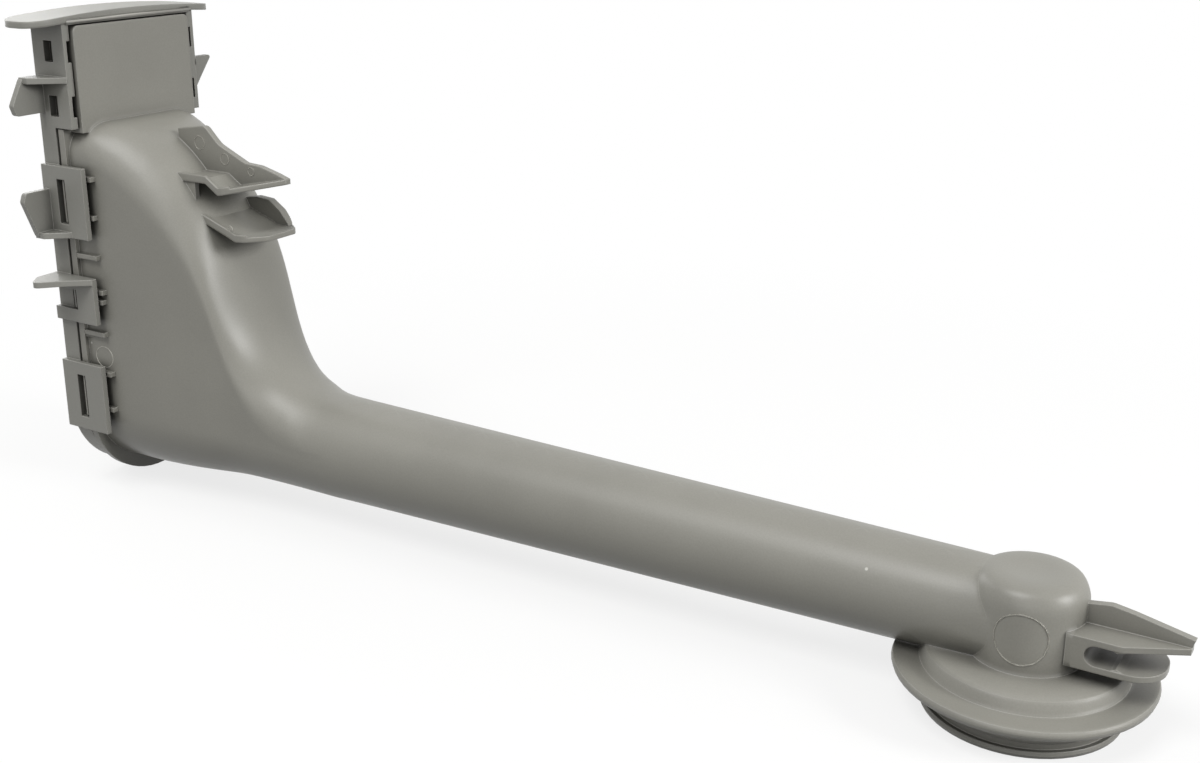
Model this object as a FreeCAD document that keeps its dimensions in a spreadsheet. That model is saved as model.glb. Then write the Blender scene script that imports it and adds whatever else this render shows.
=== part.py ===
import FreeCAD, Part
import math
import os
import re

import Sketcher

# Dishwasher wash arm holder: a water duct that hangs under the upper rack.
# Frame: origin on the wash arm axis at the lower edge of the collar, +Z up,
# the tall docking head towards -X, left and right the same about Y = 0.

doc = FreeCAD.newDocument("WashArmHolder")

# Driving dimensions in millimetres, one spreadsheet row each: name, value, meaning
SIZES = [
    ("dockReach", 250.4, "docking face to the wash arm axis"),
    ("wall", 2.2, "wall of the duct"),
    ("fitGap", 0.3, "clearance between the two mouldings"),
    # Round pipe
    ("pipeHeight", 19.0, "height of the pipe axis"),
    ("pipeRootRadius", 12.85, "outer radius where the bell ends"),
    ("pipeEndRadius", 10.4, "outer radius at the wash arm axis"),
    ("bellLength", 80.4, "docking face to the end of the bell"),
    # Outlet tower and disk
    ("towerRadius", 11.35, "outer radius of the tower"),
    ("towerHeight", 31.4, "top of the tower"),
    ("towerDome", 7.0, "rounding of the tower's top"),
    ("stepRadius", 19.0, "upper edge of the raised step"),
    ("stepFoot", 21.1, "foot of the raised step"),
    ("stepHeight", 12.2, "top of the raised step"),
    ("stepEdge", 0.9, "bevel along the edge of the raised step"),
    ("rimRadius", 26.0, "outer radius of the disk"),
    ("rimHeight", 9.2, "upper face of the disk's rim"),
    ("rimThick", 1.8, "thickness of the rim"),
    ("collarRadius", 19.0, "outer radius of the collar wall"),
    ("collarBore", 16.8, "inner radius of the collar, seat of the wash arm"),
    ("collarDepth", 8.2, "depth of the wash arm's seat in the collar"),
    ("lipRadius", 20.2, "outer radius of the collar's lips"),
    ("lipThick", 1.4, "thickness of a lip"),
    ("lipSlope", 0.3, "bevel on the edges of the lips and the rim"),
    ("lipGap", 1.6, "groove between the lips"),
    # Bell
    ("bellFloor", 3.9, "lowest point of the bell at the mouth"),
    ("bellShoulder", 97.5, "highest point of the bell"),
    ("mouthHalf", 19.8, "half width of the bell at the mouth"),
    ("shoulderRound", 8.0, "corner radius of the bell's top at the mouth"),
    # Head
    ("headHalf", 21.3, "half width of the docking frame"),
    ("headWall", 2.0, "wall of the docking frame"),
    ("headFloor", 1.5, "lowest point of the docking frame"),
    ("headRoof", 123.4, "top of the docking frame under its lid"),
    ("roofWall", 1.0, "wall under the lid"),
    ("frameDepth", 5.2, "depth of the docking frame along the sides"),
    ("hoodDepth", 11.3, "depth of the docking frame round the back panel"),
    ("hoodFloor", 96.7, "lower end of the deep part"),
    ("facePlate", 1.4, "thickness of the frame's front lip"),
    ("seamGap", 0.6, "open seam between the frame and the flange"),
    ("flangeThick", 1.9, "thickness of the flange that meets the frame"),
    ("panelGap", 0.5, "dark gap between the back panel and the frame"),
    ("panelDepth", 12.2, "docking face to the back panel"),
    ("panelFloor", 95.6, "lower edge of the back panel"),
    ("panelRound", 1.6, "rounding of the panel's corners"),
    # Lid
    ("lidHalf", 29.6, "half length of the lid across the head"),
    ("lidDepth", 14.4, "depth of the lid"),
    ("lidFront", 2.6, "overhang of the lid past the docking face"),
    ("lidThick", 1.6, "thickness of the lid"),
    ("lidCrown", 1.5, "rise of the lid's middle over its ends"),
    # Snap windows
    ("plateThick", 1.4, "thickness of a window plate"),
    ("plateDepth", 14.6, "docking face to the free edge of a plate"),
    ("plateSlot", 3.0, "width of a window, which starts at the frame's edge"),
    ("upperPlateFloor", 69.2, "lower edge of the upper plate"),
    ("upperPlateTall", 18.2, "height of the upper plate"),
    ("middlePlateFloor", 46.8, "lower edge of the middle plate"),
    ("middlePlateTall", 12.2, "height of the middle plate"),
    ("lowerPlateFloor", 17.2, "lower edge of the lower plate"),
    ("lowerPlateTall", 18.4, "height of the lower plate"),
    ("plateBar", 3.4, "bar above and below a window"),
    ("lugReach", 1.0, "how far a lug stands out"),
    ("lugDepth", 1.2, "length of a lug along the duct"),
    ("ribThick", 1.1, "thickness of the small ribs"),
    ("ribReach", 5.9, "length of the small ribs behind the flange"),
    # Hood windows
    ("ventStart", 4.0, "docking face to a hood window"),
    ("ventEnd", 7.1, "docking face to the far side of a hood window"),
    ("ventTall", 5.2, "height of a hood window"),
    ("upperVent", 113.1, "lower edge of the upper hood window"),
    ("lowerVent", 99.6, "lower edge of the lower hood window"),
    ("notchDeep", 1.3, "depth of the notches in the hood's back edge"),
    # Guide fins
    ("finThick", 1.5, "thickness of the guide fins"),
    ("finReach", 8.6, "how far the fins stand out"),
    ("finSet", 0.8, "docking face to the fins"),
    ("finShelf", 11.5, "docking face to the end of a fin's shelf"),
    ("leafReach", 11.2, "how far the flat middle fin stands out"),
    ("backFinSet", 5.4, "docking face to the upper fin of the far side"),
    ("backFinReach", 10.2, "how far that fin stands out"),
    ("upperFinRoof", 109.6, "top of the upper fin"),
    ("upperFinFloor", 100.4, "lower edge of the upper fin"),
    ("lowerFinRoof", 81.2, "upper edge of the lower fin"),
    ("lowerFinFloor", 69.2, "bottom of the lower fin"),
    # Rack clips
    ("clipWeb", 1.6, "thickness of the clips' upright webs"),
    ("clipHalf", 7.2, "half width of the clips"),
    ("jawThick", 1.3, "thickness of the clips' jaws"),
    ("endWire", 2.1, "radius of the rack wire's seat in the end clip"),
    ("endWireHeight", 18.2, "height of that seat"),
    ("endWireReach", 14.9, "wash arm axis to that seat"),
    ("endClipNeck", 18.8, "wash arm axis to the snap edge"),
    ("endClipTip", 30.8, "wash arm axis to the tip of the upper jaw"),
    ("endJawTip", 27.0, "wash arm axis to the tip of the lower jaw"),
    ("sideHalf", 9.0, "half width of the side clip"),
    ("sideGap", 5.6, "height of the side clip's slot"),
    ("sideSeat", 78.9, "floor of the side clip's slot"),
    ("sideRoot", 32.0, "docking face to the clip's root inside the bell"),
    ("sidePost", 39.0, "docking face to the edge of the posts between its jaws"),
    ("sideNeck", 46.9, "docking face to the side clip's snap edge"),
    ("sideDrop", 2.6, "how far the upper jaw bends down at the snap edge"),
    ("sideTip", 62.0, "docking face to the tip of the side clip"),
    ("sideTipRise", 0.4, "rise of that tip over the slot's roof"),
    ("sideWebTall", 12.5, "height of the upright web over the slot's roof"),
    ("sideCrest", 4.2, "height of the web's low part"),
    ("sideJawReach", 27.0, "length of the lower jaw from the root"),
    ("sideJawDrop", 6.8, "how far the lower jaw falls to its end"),
    ("sideEarThick", 2.2, "thickness of the ear on the far side"),
    ("edgeBead", 0.6, "height and width of the bead along a jaw's edge"),
]

sheet = doc.addObject("Spreadsheet::Sheet", "Sizes")
for row, (alias, value, meaning) in enumerate(SIZES, start=1):
    sheet.set(f"A{row}", str(value))
    sheet.setAlias(f"A{row}", alias)
    sheet.set(f"B{row}", meaning)
doc.recompute()

NAMES = {alias for alias, value, meaning in SIZES}


def bound(text):
    """The expression with every dimension's name pointed at its cell."""
    return re.sub(r"[A-Za-z]\w*", lambda word: "Sizes." + word[0] if word[0] in NAMES else word[0], text)


def number(text):
    """The present value of an expression over the dimensions."""
    return float(sheet.evalExpression(bound(text)))


def newBody(name):
    body = doc.addObject("PartDesign::Body", name)
    body.Label = name
    return body


def newSketch(body, name, plane, offset="0"):
    """A sketch on one of the body's own planes, moved along the plane's normal."""
    sketch = body.newObject("Sketcher::SketchObject", name)
    support = next(feature for feature in body.Origin.OriginFeatures if feature.Role == plane)
    sketch.AttachmentSupport = [(support, "")]
    sketch.MapMode = "FlatFace"
    sketch.setExpression("AttachmentOffset.Base.z", bound(offset))
    return sketch


def bind(sketch, kind, *place, size):
    """Adds one dimension to a sketch and ties it to the sheet."""
    index = sketch.addConstraint(Sketcher.Constraint(kind, *place, number(size)))
    sketch.setExpression(f"Constraints[{index}]", bound(size))


def place(sketch, item, point, across, up):
    """Ties a point of a sketch to the sketch's origin."""
    if across == "0":
        sketch.addConstraint(Sketcher.Constraint("PointOnObject", item, point, -2))
    else:
        bind(sketch, "DistanceX", -1, 1, item, point, size=across)
    if up == "0":
        sketch.addConstraint(Sketcher.Constraint("PointOnObject", item, point, -1))
    else:
        bind(sketch, "DistanceY", -1, 1, item, point, size=up)


def drawOutline(sketch, corners):
    """A closed outline through corners (across, up) or, where rounded, (across, up, radius)."""
    points = [FreeCAD.Vector(number(corner[0]), number(corner[1]), 0) for corner in corners]
    count = len(corners)
    starts, ends, rounds = [], [], []
    for i, corner in enumerate(corners):
        back = (points[i - 1] - points[i]).normalize()
        ahead = (points[(i + 1) % count] - points[i]).normalize()
        if len(corner) < 3:
            ends.append(points[i])
            starts.append(points[i])
            rounds.append(None)
            continue
        radius = number(corner[2])
        half = back.getAngle(ahead) / 2
        tangent = radius / math.tan(half)
        centre = points[i] + (back + ahead).normalize() * (radius / math.sin(half))
        first = points[i] + back * tangent
        last = points[i] + ahead * tangent
        leftTurn = back.cross(ahead).z < 0
        rounds.append((centre, radius, first, last, leftTurn))
        ends.append(first)
        starts.append(last)
    lines = []
    for i in range(count):
        lines.append(sketch.addGeometry(Part.LineSegment(starts[i], ends[(i + 1) % count]), False))
    for i, corner in enumerate(corners):
        before, after = lines[i - 1], lines[i]
        if rounds[i] is None:
            sketch.addConstraint(Sketcher.Constraint("Coincident", before, 2, after, 1))
            place(sketch, after, 1, corner[0], corner[1])
            continue
        centre, radius, first, last, leftTurn = rounds[i]
        fromPoint, toPoint = (first, last) if leftTurn else (last, first)
        startAngle = math.atan2(fromPoint.y - centre.y, fromPoint.x - centre.x)
        endAngle = math.atan2(toPoint.y - centre.y, toPoint.x - centre.x)
        circle = Part.Circle(centre, FreeCAD.Vector(0, 0, 1), radius)
        arc = sketch.addGeometry(Part.ArcOfCircle(circle, startAngle, endAngle), False)
        mark = sketch.addGeometry(Part.Point(points[i]), True)
        sketch.addConstraint(Sketcher.Constraint("Tangent", before, 2, arc, 1 if leftTurn else 2))
        sketch.addConstraint(Sketcher.Constraint("Tangent", after, 1, arc, 2 if leftTurn else 1))
        sketch.addConstraint(Sketcher.Constraint("PointOnObject", mark, 1, before))
        sketch.addConstraint(Sketcher.Constraint("PointOnObject", mark, 1, after))
        place(sketch, mark, 1, corner[0], corner[1])
        bind(sketch, "Radius", arc, size=corner[2])


def drawBox(sketch, left, right, low, high):
    """A rectangle between two across values and two heights."""
    drawOutline(sketch, [(left, low), (right, low), (right, high), (left, high)])


def addFeature(body, kind, name, profile):
    """A PartDesign feature whose faces stay as they come, which keeps the rebuild short."""
    feature = body.newObject("PartDesign::" + kind, name)
    feature.Profile = profile
    feature.Refine = False
    return feature


def pad(body, name, sketch, length, kind="Pad", symmetric=False, reverse=False):
    feature = addFeature(body, kind, name, sketch)
    feature.setExpression("Length", bound(length))
    feature.Midplane = symmetric
    feature.Reversed = reverse


def pocket(body, name, sketch, length, symmetric=False, reverse=False):
    pad(body, name, sketch, length, "Pocket", symmetric, reverse)


def turn(body, name, kind, sketch, axis):
    """A revolution or groove of a sketch about one of its own axes."""
    feature = addFeature(body, kind, name, sketch)
    feature.ReferenceAxis = (sketch, [axis])
    feature.Angle = 360.0


def drawStadium(sketch, half, low, high, corner):
    """One section of the bell: round below, straight sides, rounded corners on top."""
    w, z0, z1, r = number(half), number(low), number(high), number(corner)
    up = FreeCAD.Vector(0, 0, 1)

    def arc(x, y, radius, start, end):
        circle = Part.Circle(FreeCAD.Vector(x, y, 0), up, radius)
        return sketch.addGeometry(Part.ArcOfCircle(circle, math.radians(start), math.radians(end)), False)

    def line(x0, y0, x1, y1):
        return sketch.addGeometry(Part.LineSegment(FreeCAD.Vector(x0, y0, 0), FreeCAD.Vector(x1, y1, 0)), False)

    floor = arc(0, z0 + w, w, 180, 360)
    right = line(w, z0 + w, w, z1 - r)
    rightTop = arc(w - r, z1 - r, r, 0, 90)
    top = line(w - r, z1, r - w, z1)
    leftTop = arc(r - w, z1 - r, r, 90, 180)
    left = line(-w, z1 - r, -w, z0 + w)
    for before, after in ((floor, right), (right, rightTop), (rightTop, top), (top, leftTop), (leftTop, left),
                          (left, floor)):
        sketch.addConstraint(Sketcher.Constraint("Tangent", before, 2, after, 1))
    sketch.addConstraint(Sketcher.Constraint("Vertical", right))
    sketch.addConstraint(Sketcher.Constraint("Vertical", left))
    sketch.addConstraint(Sketcher.Constraint("Horizontal", top))
    sketch.addConstraint(Sketcher.Constraint("PointOnObject", floor, 3, -2))
    sketch.addConstraint(Sketcher.Constraint("Equal", rightTop, leftTop))
    bind(sketch, "Radius", floor, size=half)
    bind(sketch, "Radius", rightTop, size=corner)
    bind(sketch, "DistanceY", -1, 1, floor, 3, size=f"{low} + {half}")
    bind(sketch, "DistanceY", -1, 1, top, 1, size=high)


def drawSplitCircle(sketch, radius, height):
    """The bell's last section: a circle in six arcs, one for each edge of the other sections."""
    side, top = 12, 6
    breaks = [180, 360, 360 + side, 450 - top, 450 + top, 540 - side, 540]
    centre = FreeCAD.Vector(0, number(height), 0)
    circle = Part.Circle(centre, FreeCAD.Vector(0, 0, 1), number(radius))
    arcs = [sketch.addGeometry(Part.ArcOfCircle(circle, math.radians(a), math.radians(b)), False)
            for a, b in zip(breaks, breaks[1:])]
    for before, after in zip(arcs, arcs[1:] + arcs[:1]):
        sketch.addConstraint(Sketcher.Constraint("Coincident", before, 2, after, 1))
    for other in arcs[1:-1]:
        sketch.addConstraint(Sketcher.Constraint("Coincident", arcs[0], 3, other, 3))
    sketch.addConstraint(Sketcher.Constraint("Equal", arcs[0], arcs[-1]))
    place(sketch, arcs[0], 3, "0", height)
    bind(sketch, "Radius", arcs[0], size=radius)
    sketch.addConstraint(Sketcher.Constraint("Horizontal", arcs[0], 3, arcs[0], 1))
    sketch.addConstraint(Sketcher.Constraint("Horizontal", arcs[0], 3, arcs[0], 2))
    for index, angle in enumerate(breaks[2:6], start=1):
        bind(sketch, "DistanceX", -1, 1, arcs[index], 2, size=f"{radius} * {math.cos(math.radians(angle)):.4f}")


def loft(body, name, kind, sketches):
    feature = addFeature(body, kind, name, sketches[0])
    feature.Sections = sketches[1:]


# Stations of the bell behind the docking face: name, depth, half width, floor, top and corner radius
PIPE_FLOOR = "(pipeHeight - pipeRootRadius)"
BELL = [
    ("bellA", "frameDepth + seamGap", "mouthHalf", "bellFloor", "bellShoulder", "shoulderRound"),
    ("bellB", "16.0", "19.3", "bellFloor + 0.1", "bellShoulder - 0.2", "10.0"),
    ("bellC", "30.0", "17.5", "bellFloor + 0.6", "bellShoulder - 6.7", "14.0"),
    ("bellD", "43.0", "15.7", f"{PIPE_FLOOR} - 0.5", "bellShoulder - 22.9", "13.8"),
    ("bellE", "51.0", "14.2", f"{PIPE_FLOOR} - 0.1", "bellShoulder - 46.6", "12.9"),
    ("bellF", "58.0", "13.6", PIPE_FLOOR, "bellShoulder - 58.6", "12.2"),
    ("bellG", "68.0", "13.1", PIPE_FLOOR, "pipeHeight + pipeRootRadius + 1.2", "11.4"),
]


def drawArch(sketch, half, low, high):
    """The head's outline: straight sides, square on top, half round below."""
    w, z0, z1 = number(half), number(low), number(high)
    circle = Part.Circle(FreeCAD.Vector(0, z0 + w, 0), FreeCAD.Vector(0, 0, 1), w)
    floor = sketch.addGeometry(Part.ArcOfCircle(circle, math.pi, 2 * math.pi), False)
    corners = [(w, z0 + w), (w, z1), (-w, z1), (-w, z0 + w)]
    sides = [sketch.addGeometry(Part.LineSegment(FreeCAD.Vector(*a, 0), FreeCAD.Vector(*b, 0)), False)
             for a, b in zip(corners, corners[1:])]
    sketch.addConstraint(Sketcher.Constraint("Tangent", floor, 2, sides[0], 1))
    sketch.addConstraint(Sketcher.Constraint("Coincident", sides[0], 2, sides[1], 1))
    sketch.addConstraint(Sketcher.Constraint("Coincident", sides[1], 2, sides[2], 1))
    sketch.addConstraint(Sketcher.Constraint("Tangent", sides[2], 2, floor, 1))
    sketch.addConstraint(Sketcher.Constraint("PointOnObject", floor, 3, -2))
    sketch.addConstraint(Sketcher.Constraint("Vertical", sides[0]))
    sketch.addConstraint(Sketcher.Constraint("Vertical", sides[2]))
    sketch.addConstraint(Sketcher.Constraint("Horizontal", sides[1]))
    bind(sketch, "Radius", floor, size=half)
    bind(sketch, "DistanceY", -1, 1, floor, 3, size=f"{low} + {half}")
    bind(sketch, "DistanceY", -1, 1, sides[1], 1, size=high)


def drawArchedStrip(sketch, half, low, thick, crown):
    """A strip of even thickness between two arcs: low is the height of its underside in the middle."""
    radius = f"(({half} * {half} + {crown} * {crown}) / (2 * {crown}))"
    arcs = []
    for lift in ("0", thick):
        middle = number(f"{low} + {lift}")
        end = number(f"{low} + {lift} - {crown}")
        arc = Part.Arc(FreeCAD.Vector(number(half), end, 0), FreeCAD.Vector(0, middle, 0),
                       FreeCAD.Vector(-number(half), end, 0))
        index = sketch.addGeometry(arc, False)
        place(sketch, index, 1, half, f"{low} + {lift} - {crown}")
        place(sketch, index, 2, f"0 - {half}", f"{low} + {lift} - {crown}")
        bind(sketch, "Radius", index, size=radius)
        arcs.append(index)
    for point, side in ((1, 1), (2, -1)):
        x = side * number(half)
        ends = [FreeCAD.Vector(x, number(f"{low} + {lift} - {crown}"), 0) for lift in ("0", thick)]
        line = sketch.addGeometry(Part.LineSegment(*ends), False)
        sketch.addConstraint(Sketcher.Constraint("Coincident", line, 1, arcs[0], point))
        sketch.addConstraint(Sketcher.Constraint("Coincident", line, 2, arcs[1], point))


def depth(text):
    """The place along X of a distance behind the docking face."""
    return f"({text}) - dockReach"


def band(body, name, line, low, high, right, left):
    """A bent strip along (distance, height) pairs, from low to high over the line and from right to left."""
    sketch = newSketch(body, name + "Outline", "XZ_Plane", f"0 - ({left})")
    drawOutline(sketch, [(depth(where), f"{height} + {low}") for where, height in line]
                + [(depth(where), f"{height} + {high}") for where, height in reversed(line)])
    pad(body, name, sketch, f"({left}) - ({right})")


SPIGOT_HALF = "(headHalf - headWall - fitGap)"
SPIGOT_BORE = "(headHalf - headWall - fitGap - wall)"
SPIGOT_FLOOR = "(headFloor + headWall + fitGap)"
PANEL_HALF = "(headHalf - headWall - panelGap)"
PANEL_ROOF = "(headRoof - roofWall - panelGap)"
FLANGE_HALF = "(headHalf - fitGap)"
FLANGE_START = "(frameDepth + seamGap)"
PLATES = ["upper", "middle", "lower"]


def buildBell(body):
    """Upright sections behind the mouth, narrowing to the pipe's circle."""
    sections = []
    for name, where, half, low, high, corner in BELL:
        sketch = newSketch(body, name, "YZ_Plane", depth(where))
        drawStadium(sketch, half, low, high, corner)
        sections.append(sketch)
    last = newSketch(body, "bellEnd", "YZ_Plane", depth("bellLength"))
    drawSplitCircle(last, "pipeRootRadius", "pipeHeight")
    doc.recompute()
    loft(body, "bell", "AdditiveLoft", sections + [last])


def buildTower(body):
    """Tower, disk and collar, turned about the wash arm axis, with the hollow under the disk."""
    profile = newSketch(body, "towerProfile", "XZ_Plane")
    lipStep = "(lipThick + lipGap)"
    drawOutline(profile, [
        ("0", "collarDepth"),
        ("collarBore", "collarDepth"),
        ("collarBore", "0"),
        ("lipRadius - lipSlope", "0"),
        ("lipRadius", "lipThick / 2"),
        ("lipRadius - lipSlope", "lipThick"),
        ("collarRadius", "lipThick"),
        ("collarRadius", lipStep),
        ("lipRadius - 2 * lipSlope", lipStep),
        ("lipRadius - lipSlope", f"{lipStep} + lipThick / 2"),
        ("lipRadius - 2 * lipSlope", f"{lipStep} + lipThick"),
        ("collarRadius", f"{lipStep} + lipThick"),
        ("collarRadius", "rimHeight - rimThick"),
        ("rimRadius - lipSlope", "rimHeight - rimThick"),
        ("rimRadius", "rimHeight - rimThick / 2"),
        ("rimRadius - lipSlope", "rimHeight"),
        ("stepFoot", "rimHeight"),
        ("stepRadius + stepEdge / 2", "stepHeight - stepEdge"),
        ("stepRadius", "stepHeight - stepEdge / 3"),
        ("stepRadius - stepEdge", "stepHeight"),
        ("towerRadius", "stepHeight"),
        ("towerRadius", "towerHeight", "towerDome"),
        ("0", "towerHeight"),
    ])
    turn(body, "tower", "Revolution", profile, "V_Axis")


def buildBarrel(body):
    """The round pipe, slightly tapered for the mould, from the bell into the tower."""
    profile = newSketch(body, "barrelProfile", "XZ_Plane")
    profile.setExpression("AttachmentOffset.Base.y", bound("pipeHeight"))
    drawOutline(profile, [(depth("bellLength"), "0"), ("0", "0"), ("0", "pipeEndRadius"),
                          (depth("bellLength"), "pipeRootRadius")])
    turn(body, "barrel", "Revolution", profile, "H_Axis")


def buildHead(body):
    """Spigot and flange at the mouth, and the box with the flat back panel above the bell."""
    spigot = newSketch(body, "spigotOutline", "YZ_Plane", depth("facePlate + fitGap"))
    drawArch(spigot, SPIGOT_HALF, SPIGOT_FLOOR, PANEL_ROOF)
    pad(body, "spigot", spigot, "frameDepth - facePlate + seamGap + flangeThick - fitGap")
    flange = newSketch(body, "flangeOutline", "YZ_Plane", depth(FLANGE_START))
    drawArch(flange, FLANGE_HALF, "0", "hoodFloor - fitGap")
    pad(body, "flange", flange, "flangeThick")
    box = newSketch(body, "boxOutline", "YZ_Plane", depth("frameDepth"))
    drawOutline(box, [(f"0 - {PANEL_HALF}", "panelFloor"), (PANEL_HALF, "panelFloor"),
                      (PANEL_HALF, PANEL_ROOF, "panelRound"), (f"0 - {PANEL_HALF}", PANEL_ROOF, "panelRound")])
    pad(body, "box", box, "panelDepth - frameDepth")


def buildSideClip(body):
    """The clip high on the bell that holds a wire of the rack, open to +X."""
    roof = "(sideSeat + sideGap)"
    bend = [("sideRoot", roof), ("sideNeck - 1.5 * sideDrop", roof), ("sideNeck", f"{roof} - sideDrop"),
            ("sideTip", f"{roof} + sideTipRise")]
    fall = [("sideRoot", "sideSeat"), ("sideRoot + 0.17 * sideJawReach", "sideSeat"),
            ("sideRoot + 0.30 * sideJawReach", "sideSeat - 0.38 * sideJawDrop"),
            ("sideRoot + 0.60 * sideJawReach", "sideSeat - 0.80 * sideJawDrop"),
            ("sideRoot + 0.73 * sideJawReach", "sideSeat - sideJawDrop"),
            ("sideRoot + sideJawReach", "sideSeat - 0.95 * sideJawDrop")]
    ear = [("sideRoot + 0.30 * sideJawReach", "sideSeat - 0.6 * sideJawDrop", "sideSeat - 0.15 * sideJawDrop"),
           ("sideRoot + 0.45 * sideJawReach", "sideSeat - 0.8 * sideJawDrop", "sideSeat - 0.05 * sideJawDrop"),
           ("sideRoot + 0.61 * sideJawReach", "sideSeat - 0.9 * sideJawDrop", "sideSeat - 0.10 * sideJawDrop"),
           ("sideRoot + 0.74 * sideJawReach", "sideSeat - 1.05 * sideJawDrop", "sideSeat - 0.45 * sideJawDrop"),
           ("sideRoot + 0.84 * sideJawReach", "sideSeat - 1.05 * sideJawDrop", "sideSeat - 0.90 * sideJawDrop")]
    # Upper jaw, with a bead along both edges
    left, right = "sideHalf", "0 - sideHalf"
    band(body, "sidePlate", bend, "0", "jawThick", right, left)
    band(body, "sideBeadRight", bend, "jawThick / 2", "jawThick + edgeBead", right, f"{right} + 1.5 * edgeBead")
    band(body, "sideBeadLeft", bend, "jawThick / 2", "jawThick + edgeBead", f"{left} - 1.5 * edgeBead", left)
    # Lower jaw, with a bead along its right edge and an ear on the left
    band(body, "sideJaw", fall, "0 - jawThick", "0", right, left)
    band(body, "sideJawBead", fall[1:], "0 - jawThick / 2", "edgeBead", right, f"{right} + 1.5 * edgeBead")
    lobe = newSketch(body, "sideEarOutline", "XZ_Plane", f"0 - {left}")
    drawOutline(lobe, [(depth(where), low) for where, low, high in ear]
                + [(depth(where), high) for where, low, high in reversed(ear)])
    pad(body, "sideEarLobe", lobe, "sideEarThick")
    for mark, edge in (("Right", f"{right} + 0.4"), ("Left", f"{left} - jawThick - 0.4")):
        post = newSketch(body, "sidePost" + mark, "XZ_Plane", f"0 - ({edge} + jawThick)")
        drawBox(post, depth("sideRoot"), depth("sidePost"), "sideSeat - jawThick / 2", f"{roof} + jawThick / 2")
        pad(body, "sidePostWall" + mark, post, "jawThick")
    # Upright web in the middle
    web = newSketch(body, "sideWebOutline", "XZ_Plane")
    drawOutline(web, [
        (depth("sideRoot - 5.6"), f"{roof} + jawThick / 2"),
        (depth("sideNeck - 1.5 * sideDrop"), f"{roof} + jawThick / 2"),
        (depth("sideNeck"), f"{roof} - sideDrop + jawThick / 2"),
        (depth("sideTip"), f"{roof} + sideTipRise + jawThick / 2"),
        (depth("sideTip"), f"{roof} + sideTipRise + jawThick"),
        (depth("sideTip - 2.8"), f"{roof} + 0.62 * sideCrest"),
        (depth("sideTip - 8.6"), f"{roof} + 0.97 * sideCrest"),
        (depth("sideNeck + 1.8"), f"{roof} + 1.04 * sideCrest"),
        (depth("sideNeck - 7"), f"{roof} + 0.66 * sideWebTall", "6"),
        (depth("sideRoot + 3.6"), f"{roof} + sideWebTall", "2"),
        (depth("sideRoot - 5.6"), f"{roof} + 0.89 * sideWebTall"),
    ])
    pad(body, "sideWeb", web, "clipWeb", symmetric=True)
    # Upper jaw tapers to a point, lower jaw ends round
    jawEnd = "(sideRoot + sideJawReach)"
    for side in (1, -1):
        mark = "Left" if side > 0 else "Right"
        clear = f"{side} * (sideHalf + 1)"
        taper = newSketch(body, "sideTaper" + mark, "XY_Plane", f"{roof} + sideTipRise + jawThick + 1")
        drawOutline(taper, [
            (depth("sideNeck + 2"), clear),
            (depth("sideNeck + 2"), f"{side} * sideHalf"),
            (depth("0.4 * sideNeck + 0.6 * sideTip"), f"{side} * 0.56 * sideHalf"),
            (depth("sideTip"), f"{side} * clipWeb / 2"),
            (depth("sideTip + 1"), f"{side} * clipWeb / 2"),
            (depth("sideTip + 1"), clear),
        ])
        pocket(body, "sideTaperCut" + mark, taper, "sideDrop + jawThick + 2")
        rounding = newSketch(body, "sideRound" + mark, "XY_Plane", "sideSeat + 1")
        drawOutline(rounding, [
            (depth(f"{jawEnd} - 12"), clear),
            (depth(f"{jawEnd} - 12"), f"{side} * sideHalf"),
            (depth(f"{jawEnd} - 5"), f"{side} * sideHalf", "5"),
            (depth(jawEnd), f"{side} * 0.55 * sideHalf", "2.5"),
            (depth(jawEnd), f"{side} * 1.2"),
            (depth(f"{jawEnd} + 1"), f"{side} * 1.2"),
            (depth(f"{jawEnd} + 1"), clear),
        ])
        pocket(body, "sideRoundCut" + mark, rounding, "sideJawDrop + jawThick + 2")


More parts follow.
